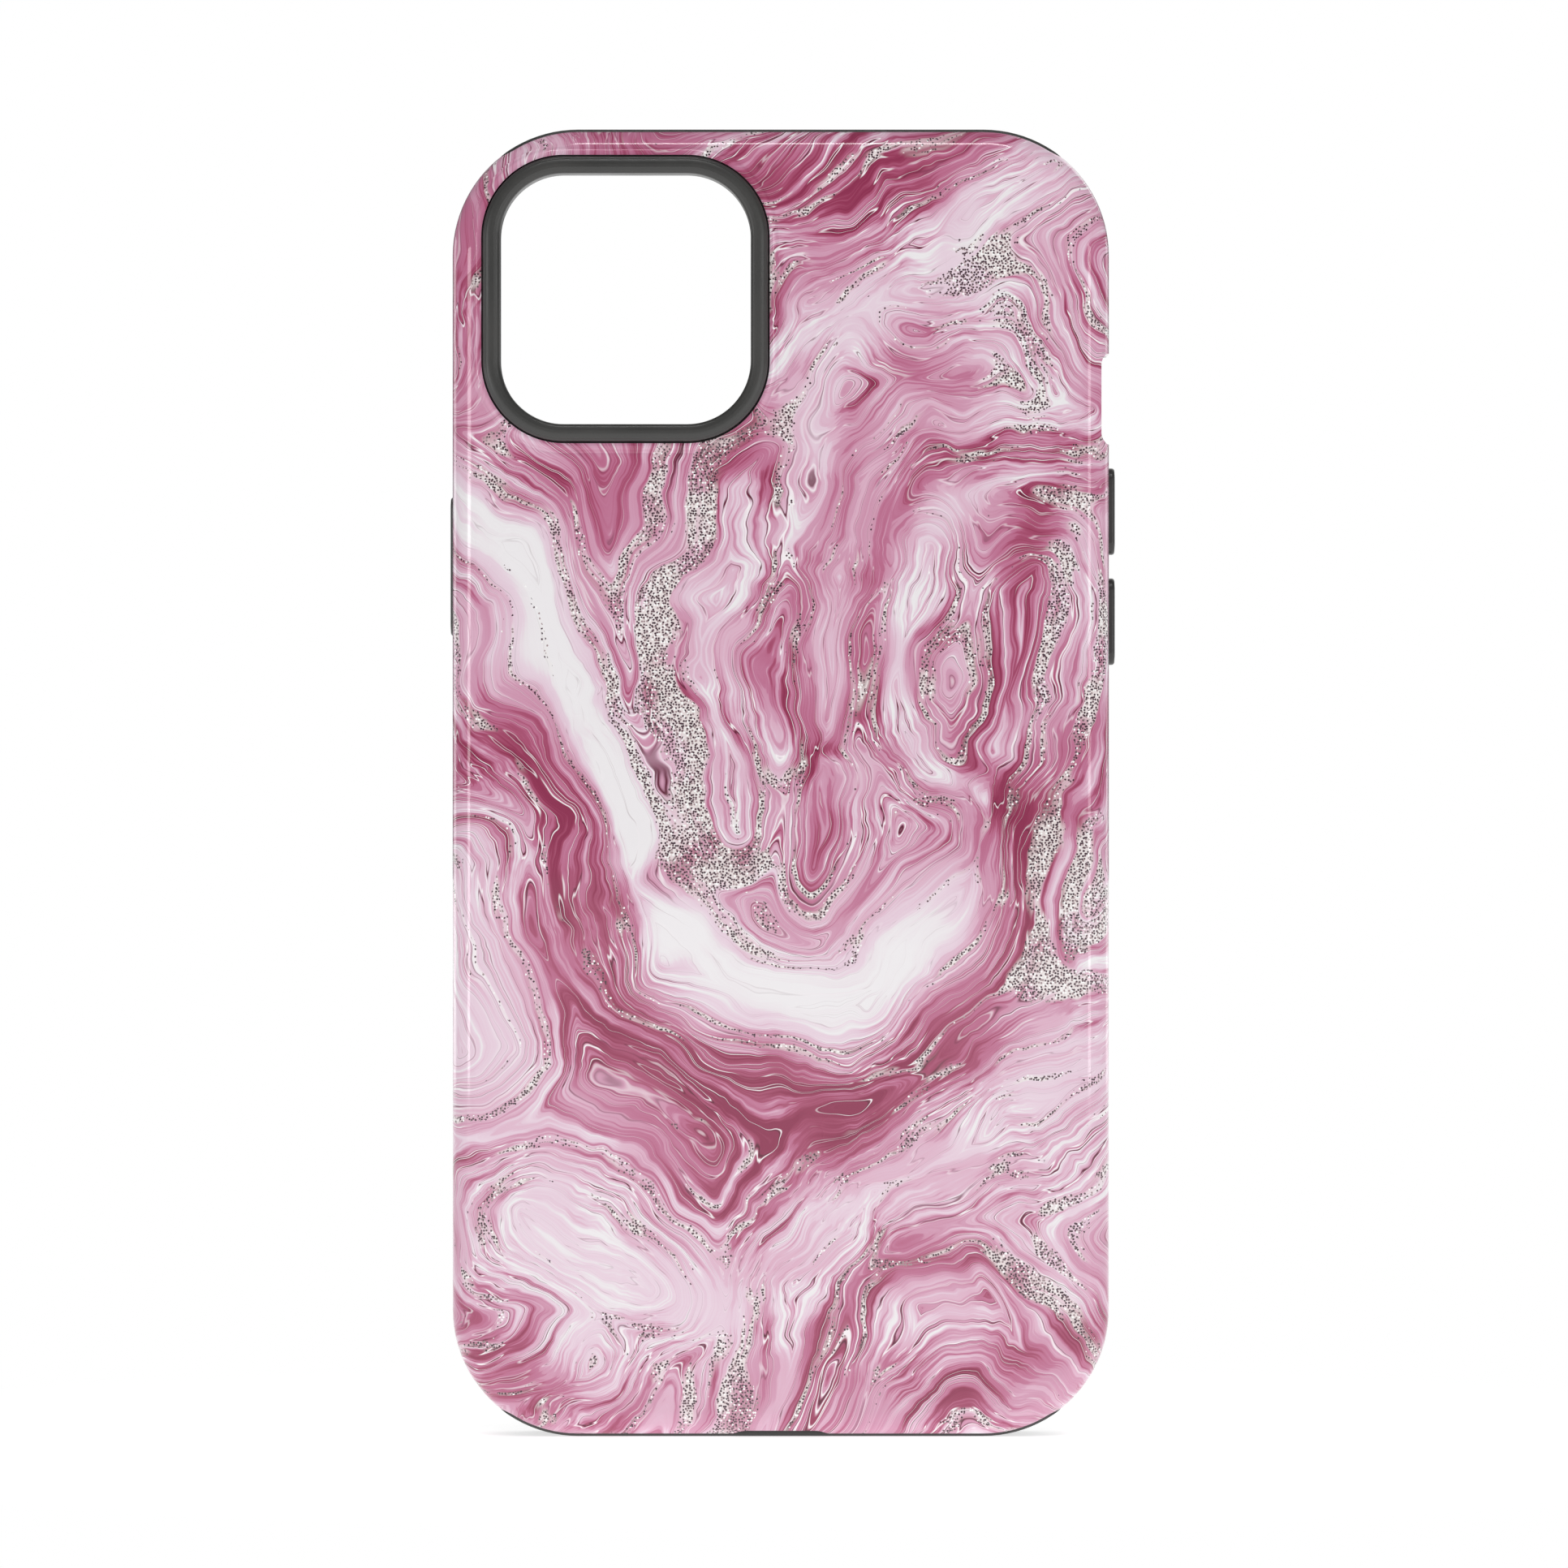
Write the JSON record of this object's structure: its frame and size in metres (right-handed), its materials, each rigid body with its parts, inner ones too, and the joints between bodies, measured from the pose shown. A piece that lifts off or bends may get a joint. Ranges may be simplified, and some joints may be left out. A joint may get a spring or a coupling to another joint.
{
  "type": "phone case",
  "caption": "Phone case: a marbled hard shell over a soft liner with a raised camera guard, side button covers that press in, and a magnet ring held between the layers.",
  "frame": {"origin": "the centre of the magnet ring, on the plane of the shell's flat outer back face", "axes": "+Z towards the top of the phone, +Y from the printed back towards the screen, +X to the right for someone looking at the back"},
  "size_m": [0.0779, 0.0132, 0.1528],
  "materials": {
    "printed_shell": "glossy polycarbonate with a pink, white and burgundy marbled print",
    "soft_liner": "satin dark grey TPU",
    "film": "pale film with adhesive on both sides",
    "magnet": "nickel-plated"
  },
  "bodies": {
    "case": {"outer_shell": "printed_shell", "inner_liner": "soft_liner", "ring_film": "film", "bar_film": "film", "bar_magnet": "magnet", "arc_magnet_01": "magnet", "arc_magnet_02": "magnet", "arc_magnet_03": "magnet", "arc_magnet_04": "magnet", "arc_magnet_05": "magnet", "arc_magnet_06": "magnet", "arc_magnet_07": "magnet", "arc_magnet_08": "magnet", "arc_magnet_09": "magnet", "arc_magnet_10": "magnet", "arc_magnet_11": "magnet", "arc_magnet_12": "magnet", "arc_magnet_13": "magnet", "arc_magnet_14": "magnet", "arc_magnet_15": "magnet", "arc_magnet_16": "magnet", "arc_magnet_17": "magnet", "arc_magnet_18": "magnet"},
    "power_button": {"power_button_cover": "soft_liner"},
    "volume_up_button": {"volume_up_cover": "soft_liner"},
    "volume_down_button": {"volume_down_cover": "soft_liner"}
  },
  "joints": [
    {"name": "power_press", "type": "slide", "parent": "case", "child": "power_button", "axis": [1, 0, 0], "range_m": [0, 0.00035]},
    {"name": "volume_up_press", "type": "slide", "parent": "case", "child": "volume_up_button", "axis": [-1, 0, 0], "range_m": [0, 0.00035]},
    {"name": "volume_down_press", "type": "slide", "parent": "case", "child": "volume_down_button", "axis": [-1, 0, 0], "range_m": [0, 0.00035]}
  ]
}
